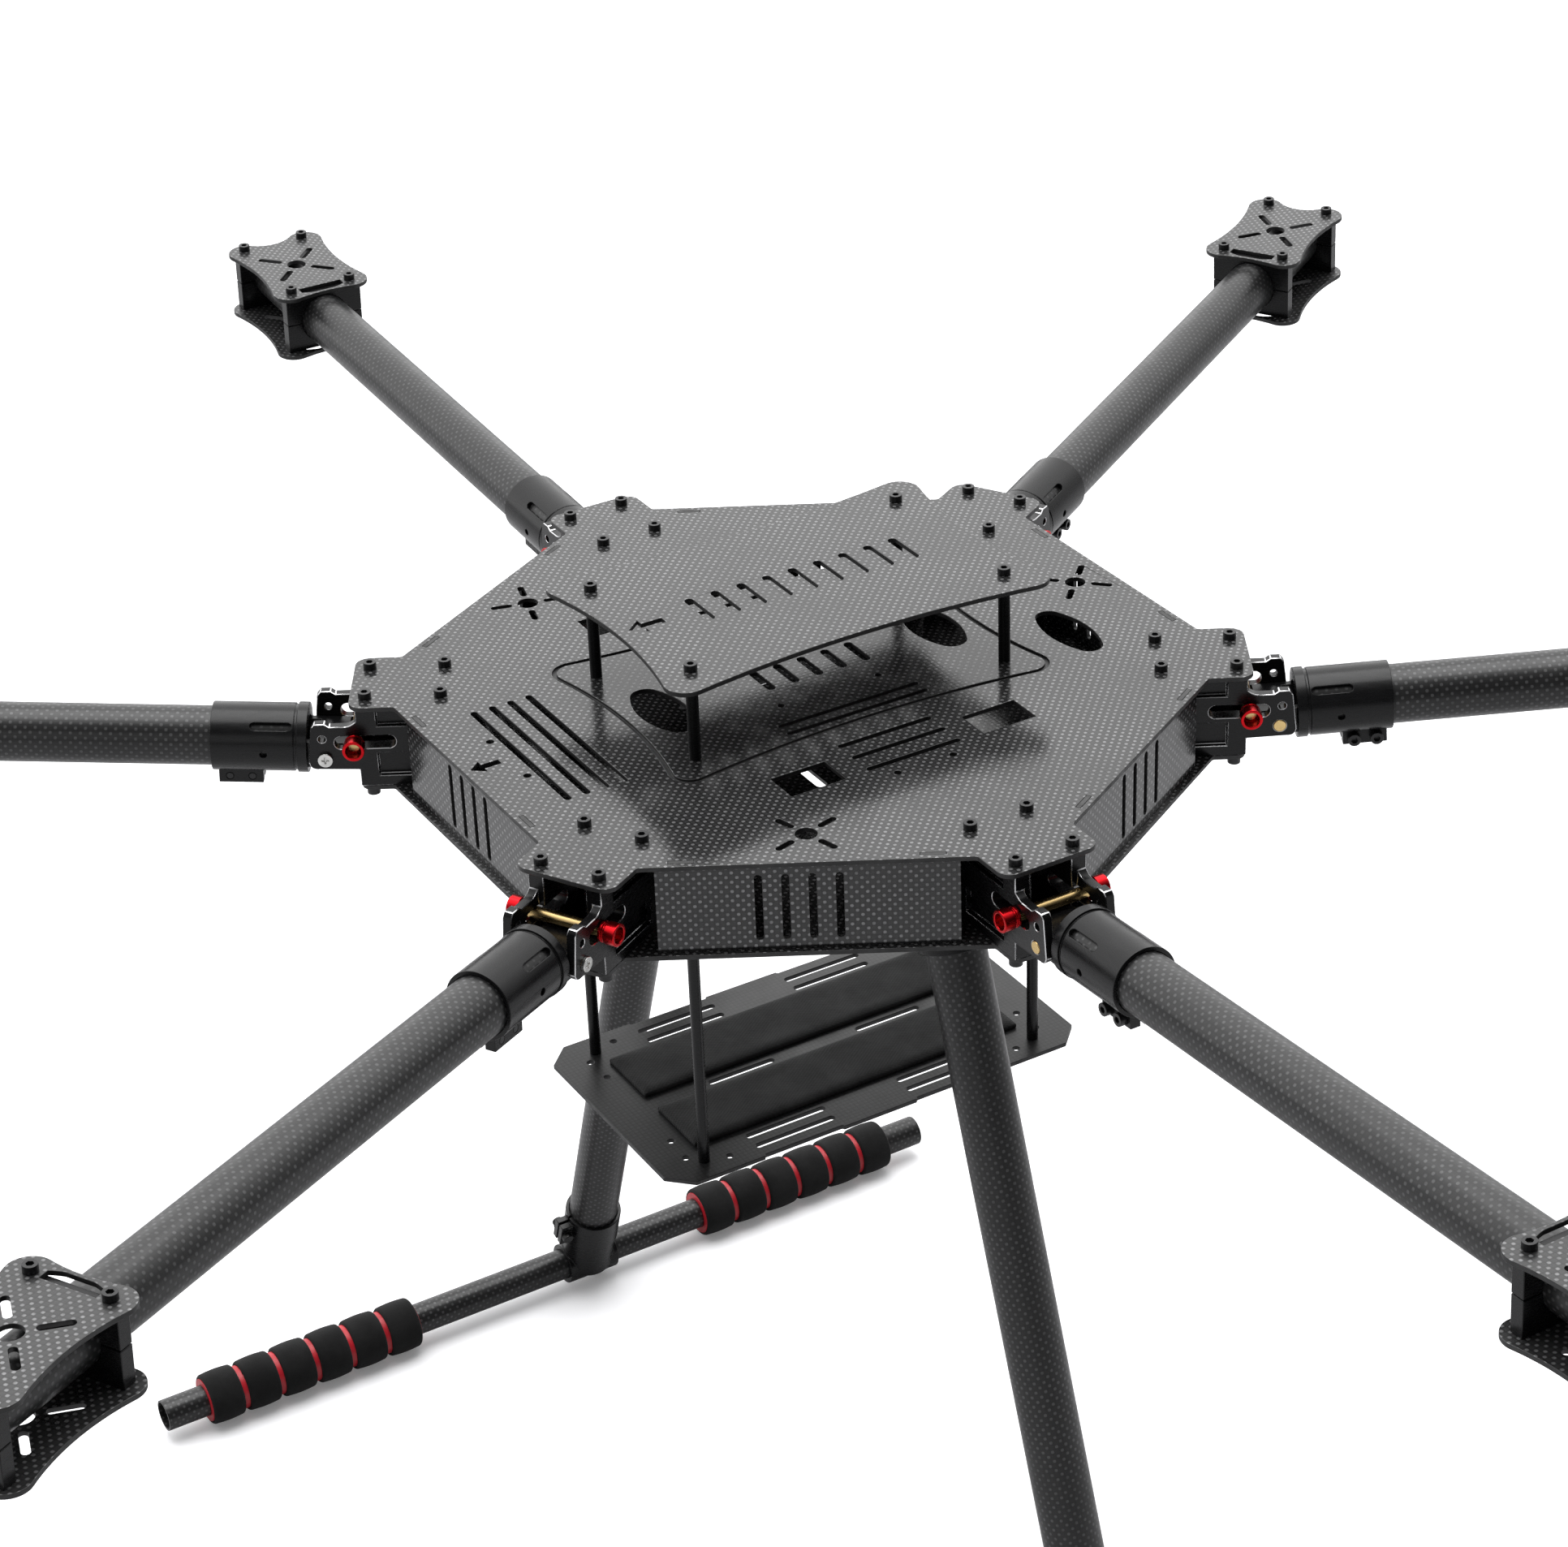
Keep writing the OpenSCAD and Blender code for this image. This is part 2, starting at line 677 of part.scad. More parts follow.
// cam nose that keeps just clear of the lock pin while the arm folds
module nose2d() {
    gap = 0.55;
    polygon(concat(
        [for (t = [10:4:46]) (lock_dist(t) - lock_pin_r - gap)
            * [cos(lock_angle(t)), sin(lock_angle(t))]],
        [[-6, -6.4], [0, -6.4], [0, 4.6]]));
}

// clamp sleeve round the tube's root, with the tang that swings in the fork
module arm_sleeve(i) {
    color(anodised) arm_frame(i) difference() {
        union() {
            tube_cylinder(sleeve_r + 0.4, sleeve_in, 12.4);
            tube_cylinder(sleeve_r - 0.6, 12, 14);
            tube_cylinder(sleeve_r, 13.6, sleeve_end);
            translate([0, 0, -0.6]) cube([2 * sleeve_in + 1, 2 * tang_half, 11.6], center = true);
            rotate([0, arm_tilt, 0]) rotate([90, 0, 0]) translate([0, 0, -nose_half])
                linear_extrude(2 * nose_half) nose2d();
            translate([27.4, -5.5, tube_up - sleeve_r - 5]) cube([18.6, 11, 9]);
        }
        // tube socket
        tube_cylinder(tube_r + fit, tube_in - 0.1, sleeve_end + over);
        tube_cylinder(9.5, sleeve_in - 4, tube_in + 1);
        // hinge bore
        rotate([90, 0, 0]) cylinder(r = hinge_pin_r + 0.08, h = 60, center = true);
        // clamp slit under the sleeve, and its bolt holes
        translate([16, -0.9, -30]) cube([sleeve_end, 1.8, 20]);
        for (x = [32, 41.4]) translate([x, 0, tube_up - sleeve_r - 1.9]) rotate([90, 0, 0])
            cylinder(r = m3_hole_r, h = 30, center = true, $fn = 24);
        // windows that show the tube
        for (s = [-1, 1]) translate([23, 0, tube_up]) rotate([s * 45, 0, 0])
            linear_extrude(20) slot2d(17.2, 3.4);
        // small side holes
        rotate([90, 0, 0]) translate([26, tube_up - 1, 0])
            cylinder(r = 1.5, h = 40, center = true, $fn = 24);
    }
}

// ---- motor mounts ----

// frame of the motor mount: origin on the tube's axis at the mount's centre
module mount_frame(i) {
    arm_frame(i) translate([motor_at, 0, tube_up]) children();
}

// motor plate outline: four flared corners, bowed sides
module mount2d() {
    translate([-1.3, 0]) bayed2d(mount_x - 1.7, mount_y + 0.5, 8.8, [30, 34.6], mount_y + 5.6);
}

// window between the two inboard screws
module mount_window2d() {
    intersection() {
        translate([-mount_x - 1.7, 0]) square([6.4, 23], center = true);
        translate([-mount_x + 20.4, 0]) circle(r = 26, $fn = 64);
    }
}

module motor_plates(i) {
    color(carbon) mount_frame(i) for (z = [-mount_half - plate_t, mount_half])
        translate([0, 0, z]) linear_extrude(plate_t) difference() {
            mount2d();
            star2d(mount_hole_r, 8, 20.6, 3.2);
            corners4(mount_x, mount_y) circle(r = m3_hole_r, $fn = 24);
            mount_window2d();
        }
}

// two split clamps round the tube: an upper and a lower half each
module motor_clamps(i) {
    gap = 0.4;
    width = 2 * mount_y + 9;
    color(anodised) mount_frame(i) for (s = [-1, 1], u = [-1, 1]) difference() {
        translate([s * mount_x - clamp_t / 2, -width / 2, u > 0 ? gap / 2 : -mount_half])
            cube([clamp_t, width, mount_half - gap / 2]);
        rotate([0, 90, 0]) cylinder(r = tube_r + fit, h = 100, center = true, $fn = 64);
        for (t = [-1, 1]) translate([s * mount_x, t * mount_y, 0])
            cylinder(r = m3_hole_r, h = 50, center = true, $fn = 24);
    }
}

// motor mount screws with their nuts, and the two sleeve clamp bolts
module arm_screws(i) {
    shank = 2 * mount_half + 2 * plate_t + 3.2;
    color(screw_black) {
        mount_frame(i) corners4(mount_x, mount_y) {
            translate([0, 0, mount_half + plate_t]) cap_screw(shank);
            translate([0, 0, -mount_half - plate_t - 2.4]) difference() {
                cylinder(r = 3.1, h = 2.4, $fn = 6);
                translate([0, 0, -over]) cylinder(r = m3_r, h = 5);
            }
        }
        arm_frame(i) for (x = [32, 41.4]) translate([x, -5.5, tube_up - sleeve_r - 1.9])
            rotate([90, 0, 0]) cap_screw(11);
    }
}

// ---- fold locks ----

// frame of one lock: origin on the pin's axis at the arm's centre line, Y along the pin
module lock_frame(i) {
    rotate(arm_step * (i - 1)) translate([lock_r, 0, lock_z]) children();
}

module lock_pin(i) {
    color(brass) lock_frame(i) y_cylinder(lock_pin_r, 2 * knob_end - 9);
}

// hollow knob on each end of the pin: collar, neck and cup
module lock_knobs(i) {
    start = bracket_w / 2 + 0.4;
    color(red) lock_frame(i) for (s = [-1, 1]) rotate([-90 * s, 0, 0]) difference() {
        union() {
            translate([0, 0, start]) cylinder(r = knob_r - 0.3, h = 1.4);
            translate([0, 0, start]) cylinder(r = 3.5, h = 4);
            translate([0, 0, start + 2.6]) cylinder(r = knob_r, h = knob_end - start - 2.6);
        }
        translate([0, 0, start - over]) cylinder(r = lock_pin_r + 0.02, h = 5);
        translate([0, 0, knob_end - 4]) cylinder(r = 3.2, h = 5);
    }
}

// ---- nodes ----

hub_bottom_plate();
hub_top_plate();
side_panels();
arm_brackets();
hinge_pins();
hinge_pin_screws();
hub_screws();
upper_plate();
upper_plate_posts();
battery_tray();
battery_tray_hangers();
battery_pads();
leg_sockets();
leg_tubes();
skid_tees();
skid_tubes();
skid_grip_foam();
skid_grip_sleeves();
arm_tube(1);  // arm_tube_1
arm_tube(2);  // arm_tube_2
arm_tube(3);  // arm_tube_3
arm_tube(4);  // arm_tube_4
arm_tube(5);  // arm_tube_5
arm_tube(6);  // arm_tube_6
arm_sleeve(1);  // arm_sleeve_1
arm_sleeve(2);  // arm_sleeve_2
arm_sleeve(3);  // arm_sleeve_3
arm_sleeve(4);  // arm_sleeve_4
arm_sleeve(5);  // arm_sleeve_5
arm_sleeve(6);  // arm_sleeve_6
motor_plates(1);  // motor_plates_1
motor_plates(2);  // motor_plates_2
motor_plates(3);  // motor_plates_3
motor_plates(4);  // motor_plates_4
motor_plates(5);  // motor_plates_5
motor_plates(6);  // motor_plates_6
motor_clamps(1);  // motor_clamps_1
motor_clamps(2);  // motor_clamps_2
motor_clamps(3);  // motor_clamps_3
motor_clamps(4);  // motor_clamps_4
motor_clamps(5);  // motor_clamps_5
motor_clamps(6);  // motor_clamps_6
arm_screws(1);  // arm_screws_1
arm_screws(2);  // arm_screws_2
arm_screws(3);  // arm_screws_3
arm_screws(4);  // arm_screws_4
arm_screws(5);  // arm_screws_5
arm_screws(6);  // arm_screws_6
lock_pin(1);  // lock_pin_1
lock_pin(2);  // lock_pin_2
lock_pin(3);  // lock_pin_3
lock_pin(4);  // lock_pin_4
lock_pin(5);  // lock_pin_5
lock_pin(6);  // lock_pin_6
lock_knobs(1);  // lock_knobs_1
lock_knobs(2);  // lock_knobs_2
lock_knobs(3);  // lock_knobs_3
lock_knobs(4);  // lock_knobs_4
lock_knobs(5);  // lock_knobs_5
lock_knobs(6);  // lock_knobs_6
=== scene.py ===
import json
import math

import bmesh
import bpy
from mathutils import Matrix, Vector

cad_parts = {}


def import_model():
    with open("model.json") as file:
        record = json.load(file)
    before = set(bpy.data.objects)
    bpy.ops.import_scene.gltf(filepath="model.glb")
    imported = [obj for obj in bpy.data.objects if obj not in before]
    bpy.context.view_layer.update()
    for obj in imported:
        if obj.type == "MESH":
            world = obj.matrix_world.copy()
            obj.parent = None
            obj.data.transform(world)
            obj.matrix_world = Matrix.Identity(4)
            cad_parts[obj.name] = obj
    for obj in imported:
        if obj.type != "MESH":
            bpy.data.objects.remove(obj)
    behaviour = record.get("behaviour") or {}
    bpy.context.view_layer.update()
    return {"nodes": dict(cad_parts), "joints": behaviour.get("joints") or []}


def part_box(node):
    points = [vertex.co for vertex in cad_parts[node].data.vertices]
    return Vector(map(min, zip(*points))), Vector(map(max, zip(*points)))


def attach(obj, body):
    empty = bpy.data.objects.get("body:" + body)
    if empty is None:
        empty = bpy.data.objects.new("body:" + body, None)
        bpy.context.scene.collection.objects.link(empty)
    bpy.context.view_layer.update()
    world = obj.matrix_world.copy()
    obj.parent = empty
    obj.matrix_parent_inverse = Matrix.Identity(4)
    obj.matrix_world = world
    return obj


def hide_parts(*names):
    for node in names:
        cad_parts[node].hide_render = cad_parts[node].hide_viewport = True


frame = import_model()
nodes = frame["nodes"]

# ---- places taken from the frame, in metres ----

ARMS = range(1, 7)
JOINTS = {joint["name"]: joint for joint in frame["joints"]}


def hinge_point(i):
    """Rest position of the fold hinge of arm i."""
    return Vector(JOINTS[f"arm_fold_{i}"]["pos_m"])


def arm_azimuth(i):
    """Azimuth of arm i, in radians."""
    return math.radians(60 * (i - 1))


ARM_TILT = math.radians(3.5)
TUBE_UP = 0.0014    # height of an arm tube's axis above its hinge
TUBE_R = 0.0125     # outer radius of the arm and leg tubes
LEG_SPLAY = math.radians(18.8)
SKID_LOW, SKID_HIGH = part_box("skid_tubes")
FOAM_LOW, FOAM_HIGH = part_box("skid_grip_foam")
SLEEVE_LOW, SLEEVE_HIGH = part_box("skid_grip_sleeves")
PAD_LOW, PAD_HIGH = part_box("battery_pads")
GRIP_R = (FOAM_HIGH.z - FOAM_LOW.z) / 2
SLEEVE_R = (SLEEVE_HIGH.z - SLEEVE_LOW.z) / 2
SKID_R = (SKID_HIGH.z - SKID_LOW.z) / 2
SKID_Z = (SKID_LOW.z + SKID_HIGH.z) / 2
SKID_X = SKID_HIGH.x - SKID_R
SIDES = ((-1, "left"), (1, "right"))


# ---- node tree helpers ----

class Tree:
    """Builds one material's nodes with short calls."""

    def __init__(self, name):
        self.mat = bpy.data.materials.new(name)
        self.mat.use_nodes = True
        self.nodes = self.mat.node_tree.nodes
        self.links = self.mat.node_tree.links
        self.bsdf = self.nodes["Principled BSDF"]

    def put(self, socket, value):
        """Links a socket to value, or sets it where value is a plain number or colour."""
        if isinstance(value, bpy.types.NodeSocket):
            self.links.new(value, socket)
        else:
            socket.default_value = value

    def shade(self, **values):
        """Sets or links inputs of the shader; an underscore in a name stands for a space."""
        for name, value in values.items():
            self.put(self.bsdf.inputs[name.replace("_", " ")], value)

    def math(self, operation, *values):
        node = self.nodes.new("ShaderNodeMath")
        node.operation = operation
        for socket, value in zip(node.inputs, values):
            self.put(socket, value)
        return node.outputs[0]

    def ramp(self, value, low, high, out_low=0.0, out_high=1.0):
        """Smooth step of value from low to high."""
        node = self.nodes.new("ShaderNodeMapRange")
        node.interpolation_type = "SMOOTHSTEP"
        for socket, number in zip(node.inputs, (value, low, high, out_low, out_high)):
            self.put(socket, number)
        return node.outputs[0]

    def mix(self, share, a, b):
        """Colour a where share is 0 and b where it is 1."""
        node = self.nodes.new("ShaderNodeMix")
        node.data_type = "RGBA"
        self.put(node.inputs["Factor"], share)
        self.put(node.inputs["A"], a)
        self.put(node.inputs["B"], b)
        return node.outputs["Result"]

    def place(self, location=(0, 0, 0), rotation=(0, 0, 0)):
        """Coordinates in metres in a frame with that origin and Euler rotation."""
        coords = self.nodes.new("ShaderNodeTexCoord")
        node = self.nodes.new("ShaderNodeMapping")
        node.vector_type = "TEXTURE"
        self.links.new(coords.outputs["Object"], node.inputs["Vector"])
        node.inputs["Location"].default_value = location
        node.inputs["Rotation"].default_value = rotation
        return node.outputs[0]

    def split(self, vector):
        node = self.nodes.new("ShaderNodeSeparateXYZ")
        self.links.new(vector, node.inputs[0])
        return node.outputs[0], node.outputs[1], node.outputs[2]

    def stretch(self, vector, scale):
        node = self.nodes.new("ShaderNodeVectorMath")
        node.operation = "MULTIPLY"
        self.put(node.inputs[0], vector)
        node.inputs[1].default_value = scale
        return node.outputs[0]

    def noise(self, vector, scale, detail=3.0, rough=0.55):
        node = self.nodes.new("ShaderNodeTexNoise")
        self.put(node.inputs["Vector"], vector)
        node.inputs["Scale"].default_value = scale
        node.inputs["Detail"].default_value = detail
        node.inputs["Roughness"].default_value = rough
        return node.outputs["Fac"]

    def bump(self, height, distance, strength=1.0, under=None):
        node = self.nodes.new("ShaderNodeBump")
        self.put(node.inputs["Height"], height)
        node.inputs["Distance"].default_value = distance
        node.inputs["Strength"].default_value = strength
        if under is not None:
            self.put(node.inputs["Normal"], under)
        return node.outputs[0]


def grey(value):
    """Colour of that grey, a shade cooler than neutral."""
    return (value, value, value * 1.02, 1.0)


# ---- materials ----

TOW = 0.00207                      # width of one tow of the plates' plain weave
RESIN, FIBRE = 0.010, 0.022        # diffuse tone between the tows and on them
PAINTED_GLINT, GLINT_METAL = 0.20, 0.45    # painted glint: bright tone painted on the tows' raised crossings, and the metallic share that adds real reflection there


def weave(tree, across, along):
    """Crossing wave, raised tows and height of a plain weave, from the phases of both tows."""
    crossing = tree.math("MULTIPLY", tree.math("COSINE", across), tree.math("COSINE", along))
    top = tree.ramp(crossing, 0.30, 0.85)
    size = tree.math("ABSOLUTE", crossing)
    return crossing, top, size


def finish_weave(tree, vector, crossing, top, size, gloss, painted_glint, shine, fibre=FIBRE):
    """Shades tows, their glints painted as a bright tone, the resin between them and slow unevenness of
    the lay-up.
    """
    patch = tree.ramp(tree.noise(vector, 26.0, 4.0), 0.3, 0.7, 0.62, 1.25)
    spark = tree.ramp(tree.noise(vector, 420.0, 2.0), 0.35, 0.65, 0.7, 1.2)
    tow = tree.mix(tree.ramp(size, 0.02, 0.35), grey(RESIN), grey(fibre))
    # painted glint: the raised crossings get a bright base tone where highlights show; the metallic
    # share set below adds real reflection
    share = tree.math("MULTIPLY", tree.math("MULTIPLY", top, spark), patch)
    tree.shade(Base_Color=tree.mix(share, tow, grey(painted_glint)))
    tree.shade(Metallic=tree.math("MULTIPLY", share, shine))
    worn = tree.ramp(tree.noise(vector, 60.0, 5.0, 0.65), 0.35, 0.75, -0.04, 0.05)
    tree.shade(Roughness=tree.math("ADD", worn, gloss))
    grain = tree.bump(tree.noise(vector, 1400.0, 2.0), 0.00001, 0.2)
    dome = tree.math("ADD", tree.math("POWER", size, 0.6), tree.math("MULTIPLY", top, 0.4))
    tree.shade(Normal=tree.bump(dome, 0.00004, 0.22, grain))


def carbon_plate(name, location=(0, 0, 0), rotation=(0, 0, 0), gloss=0.17, axes=(0, 1),
                 painted_glint=PAINTED_GLINT, shine=GLINT_METAL):
    """Plain weave plate with a glint painted on its raised crossings; axes are the two coordinates that
    the tows run along.
    """
    tree = Tree(name)
    vector = tree.place(location, rotation)
    xyz = tree.split(vector)
    turn = math.pi / TOW
    phases = [tree.math("MULTIPLY", xyz[k], turn) for k in axes]
    finish_weave(tree, vector, *weave(tree, *phases), gloss, painted_glint, shine)
    tree.shade(IOR=1.5)
    return tree.mat


def carbon_tube(name, location, rotation, radius, gloss=0.36):
    """Wrapped weave on a tube whose axis is X of the given frame."""
    tree = Tree(name)
    vector = tree.place(location, rotation)
    x, y, z = tree.split(vector)
    rows = 2 * round(math.pi * radius / TOW)
    angle = tree.math("MULTIPLY", tree.math("ARCTAN2", z, y), rows / 2)
    along = tree.math("MULTIPLY", x, math.pi / TOW)
    # 0.075 is the tone of the glint painted on the raised crossings, 0.25 its metallic share
    finish_weave(tree, vector, *weave(tree, along, angle), gloss, 0.075, 0.25, 0.013)
    tree.shade(IOR=1.45)
    return tree.mat


def cut_edge():
    """Sawn edge of a plate: dull, with the plies showing as faint lines."""
    tree = Tree("carbon_cut_edge")
    vector = tree.place()
    plies = tree.noise(tree.stretch(vector, (1.0, 1.0, 12.0)), 300.0, 3.0)
    tree.shade(Base_Color=tree.mix(tree.ramp(plies, 0.3, 0.7), grey(0.006), grey(0.016)))
    tree.shade(Roughness=tree.ramp(tree.noise(vector, 150.0), 0.3, 0.7, 0.42, 0.6))
    tree.shade(Normal=tree.bump(plies, 0.00003, 0.4))
    return tree.mat


def metal(name, colour, rough, metallic=1.0, specular=0.5, dark=0.75):
    """Machined or anodised metal with uneven tone, fine grain and handling marks."""
    tree = Tree(name)
    vector = tree.place()
    patch = tree.ramp(tree.noise(vector, 90.0, 4.0), 0.3, 0.7)
    shade = tuple(dark * c for c in colour)
    tree.shade(Base_Color=tree.mix(patch, (*shade, 1.0), (*colour, 1.0)))
    marks = tree.ramp(tree.noise(tree.stretch(vector, (1.0, 1.0, 9.0)), 160.0, 5.0), 0.35, 0.75,
                      -0.03, 0.05)
    tree.shade(Roughness=tree.math("ADD", marks, rough), Metallic=metallic)
    tree.shade(Specular_IOR_Level=specular)
    tree.shade(Normal=tree.bump(tree.noise(vector, 2000.0, 3.0), 0.000008, 0.3))
    return tree.mat


def foam_material():
    """Closed cell foam: dull, with fine pores and scuffs."""
    tree = Tree("foam")
    vector = tree.place()
    pores = tree.noise(vector, 1500.0, 4.0, 0.7)
    scuff = tree.ramp(tree.noise(vector, 70.0, 5.0), 0.35, 0.7)
    tree.shade(Base_Color=tree.mix(scuff, grey(0.005), grey(0.010)), Roughness=0.93)
    tree.shade(Specular_IOR_Level=0.25, Sheen_Weight=0.04, Sheen_Roughness=0.5)
    tree.shade(Normal=tree.bump(pores, 0.0002, 0.7))
    return tree.mat


def pad_material():
    """Rubbery non-slip pad with a fine ribbed cloth face."""
    tree = Tree("pad")
    vector = tree.place()
    x, y, z = tree.split(vector)
    rib = tree.math("SINE", tree.math("MULTIPLY", x, math.pi / 0.0008))
    knit = tree.math("SINE", tree.math("MULTIPLY", y, math.pi / 0.0011))
    cloth = tree.math("MULTIPLY", rib, knit)
    dust = tree.ramp(tree.noise(vector, 55.0, 6.0, 0.6), 0.35, 0.7)
    tree.shade(Base_Color=tree.mix(dust, grey(0.012), grey(0.028)), Roughness=0.8)
    tree.shade(Normal=tree.bump(cloth, 0.0001, 0.6, tree.bump(tree.noise(vector, 900.0), 0.00008)))
    return tree.mat


def plastic(name, colour, rough):
    """Moulded plastic with slow changes of tone and gloss."""
    tree = Tree(name)
    vector = tree.place()
    tone = tree.ramp(tree.noise(vector, 40.0, 4.0), 0.3, 0.7)
    shade = tuple(0.8 * c for c in colour)
    tree.shade(Base_Color=tree.mix(tone, (*shade, 1.0), (*colour, 1.0)))
    tree.shade(Roughness=tree.ramp(tree.noise(vector, 200.0, 4.0), 0.3, 0.7, rough, rough + 0.1))
    tree.shade(Normal=tree.bump(tree.noise(vector, 1200.0), 0.00004, 0.4))
    return tree.mat


DECK = carbon_plate("carbon_deck")
# tray: duller weave with only a faint painted glint on its crossings
TRAY = carbon_plate("carbon_tray", gloss=0.36, painted_glint=0.035, shine=0.1)
EDGE = cut_edge()
SIDE = [carbon_plate(f"carbon_side_{k}", rotation=(0, 0, math.radians(30 + 60 * k)), axes=(1, 2))
        for k in range(6)]
BLACK = metal("black_anodised", (0.006, 0.006, 0.0065), 0.27, metallic=0.0, specular=0.27)
BRIGHT = metal("polished_edge", (0.62, 0.62, 0.63), 0.26, dark=0.9)
RED = metal("red_anodised", (0.62, 0.012, 0.018), 0.27)
BRASS = metal("brass", (0.78, 0.56, 0.25), 0.26)
STEEL = metal("plated_steel", (0.74, 0.74, 0.72), 0.24)
BOLT = metal("black_steel", (0.010, 0.010, 0.011), 0.30, metallic=0.2)
FOAM = foam_material()
PAD = pad_material()
RED_PLASTIC = plastic("red_plastic", (0.52, 0.010, 0.022), 0.38)


# ---- CAD nodes: materials, welded seams and softened edges ----

WELD_GAP = 0.000002                 # vertices this close become one
FLAT_ANGLE = math.radians(0.4)      # faces this near to flat are joined
SHARP_ANGLE = math.radians(32)      # edges sharper than this are broken


def dress(name, material, bevel, edge=None, segments=2):
    """Gives a CAD node its material and breaks its sharp edges by bevel, edged in another one."""
    obj = nodes[name]
    mesh = obj.data
    mesh.materials.clear()
    mesh.materials.append(material)
    if edge is not None:
        mesh.materials.append(edge)
    if "custom_normal" in mesh.attributes:
        mesh.attributes.remove(mesh.attributes["custom_normal"])
    mesh.polygons.foreach_set("use_smooth", [True] * len(mesh.polygons))
    weld = obj.modifiers.new("weld", "WELD")
    weld.merge_threshold = WELD_GAP
    flat = obj.modifiers.new("flat", "DECIMATE")
    flat.decimate_type = "DISSOLVE"
    flat.angle_limit = FLAT_ANGLE
    broken = obj.modifiers.new("broken_edges", "BEVEL")
    broken.width = bevel
    broken.segments = segments
    broken.limit_method = "ANGLE"
    broken.angle_limit = SHARP_ANGLE
    broken.use_clamp_overlap = False
    broken.harden_normals = True
    if edge is not None:
        broken.material = 1
    even = obj.modifiers.new("even_normals", "WEIGHTED_NORMAL")
    even.keep_sharp = True
    return obj


def cut_faces(name, across, slot, sunk=None):
    """Gives the cut edges of a plate node material slot; across(face) is the plate's normal there."""
    for face in nodes[name].data.polygons:
        if abs(face.normal.dot(across(face))) < 0.7 or (sunk and sunk(face)):
            face.material_index = slot


def straight_up(face):
    """Normal of a level plate."""
    return Vector((0, 0, 1))


PLATE_EDGE = 0.00022    # broken edge of a carbon plate
FACE_GAP = 0.0001       # a face this far inside a plate's top and bottom is in the engraved line
for plate in ("hub_top_plate", "hub_bottom_plate", "upper_plate", "battery_tray"):
    dress(plate, TRAY if plate == "battery_tray" else DECK, PLATE_EDGE)
    nodes[plate].data.materials.append(EDGE)
    low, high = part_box(plate)
    cut_faces(plate, straight_up, 1,
              lambda face: low.z + FACE_GAP < face.center.z < high.z - FACE_GAP)
dress("side_panels", SIDE[0], PLATE_EDGE)
dress("arm_brackets", BLACK, 0.00032, edge=BRIGHT, segments=1)
dress("hinge_pins", BRASS, 0.0003)
dress("hinge_pin_screws", STEEL, 0.0002)
dress("hub_screws", BOLT, 0.0002)
dress("upper_plate_posts", BLACK, 0.0002)
dress("battery_tray_hangers", BLACK, 0.0002)
dress("leg_sockets", BLACK, 0.0004)
dress("skid_tees", BLACK, 0.0004)
dress("skid_grip_sleeves", RED_PLASTIC, 0.0002)


def leg_tube_material(side):
    """Weave wrapped round the leg on one side."""
    return carbon_tube(f"carbon_leg_{'left' if side < 0 else 'right'}", (side * SKID_X, 0, SKID_Z),
                       (0, -math.pi / 2 - side * LEG_SPLAY, 0), TUBE_R)


def skid_tube_material(side):
    """Weave wrapped round the skid on one side."""
    return carbon_tube(f"carbon_skid_{'left' if side < 0 else 'right'}", (side * SKID_X, 0, SKID_Z),
                       (0, 0, math.pi / 2), SKID_R)


def by_side(name, make, bevel):
    """Two-sided node: faces on -X get the first material and faces on +X the second."""
    obj = dress(name, make(-1), bevel)
    obj.data.materials.append(make(1))
    for face in obj.data.polygons:
        face.material_index = 1 if face.center.x > 0 else 0


by_side("leg_tubes", leg_tube_material, 0.0002)
by_side("skid_tubes", skid_tube_material, 0.0002)


def by_sector(name, materials):
    """Six-sided node: each 60 degree sector gets the material of its panel."""
    mesh = nodes[name].data
    mesh.materials.clear()
    for material in materials:
        mesh.materials.append(material)
    for face in mesh.polygons:
        azimuth = math.degrees(math.atan2(face.center.y, face.center.x)) % 360
        face.material_index = int(azimuth // 60) % 6


def panel_normal(face):
    """Outward normal of the side panel that holds this face."""
    azimuth = math.degrees(math.atan2(face.center.y, face.center.x)) % 360
    turn = math.radians(60 * int(azimuth // 60) + 30)
    return Vector((math.cos(turn), math.sin(turn), 0))


by_sector("side_panels", SIDE + [EDGE])
cut_faces("side_panels", panel_normal, len(SIDE))


def arm_rotation(i):
    """Euler rotation that turns X out along arm i."""
    return (0, -ARM_TILT, arm_azimuth(i))


def along_arm(i, x, z):
    """Point at x along arm i and z above its axis, from the fold hinge."""
    turn = Matrix.Rotation(arm_azimuth(i), 3, "Z") @ Matrix.Rotation(-ARM_TILT, 3, "Y")
    return hinge_point(i) + turn @ Vector((x, 0, z))


for i in ARMS:
    root = tuple(along_arm(i, 0, TUBE_UP))
    dress(f"arm_tube_{i}", carbon_tube(f"carbon_arm_{i}", root, arm_rotation(i), TUBE_R), 0.0002)
    plates = carbon_plate(f"carbon_mount_{i}", root, arm_rotation(i), 0.30)
    dress(f"motor_plates_{i}", plates, PLATE_EDGE)
    nodes[f"motor_plates_{i}"].data.materials.append(EDGE)
    mount_up = along_arm(i, 0, 1) - along_arm(i, 0, 0)
    cut_faces(f"motor_plates_{i}", lambda face: mount_up, 1)
    dress(f"motor_clamps_{i}", BLACK, 0.0003)
    dress(f"arm_sleeve_{i}", BLACK, 0.0003)
    dress(f"arm_screws_{i}", BOLT, 0.0002)
    dress(f"lock_pin_{i}", BRASS, 0.0003)
    dress(f"lock_knobs_{i}", RED, 0.00035)


# ---- soft pieces ----

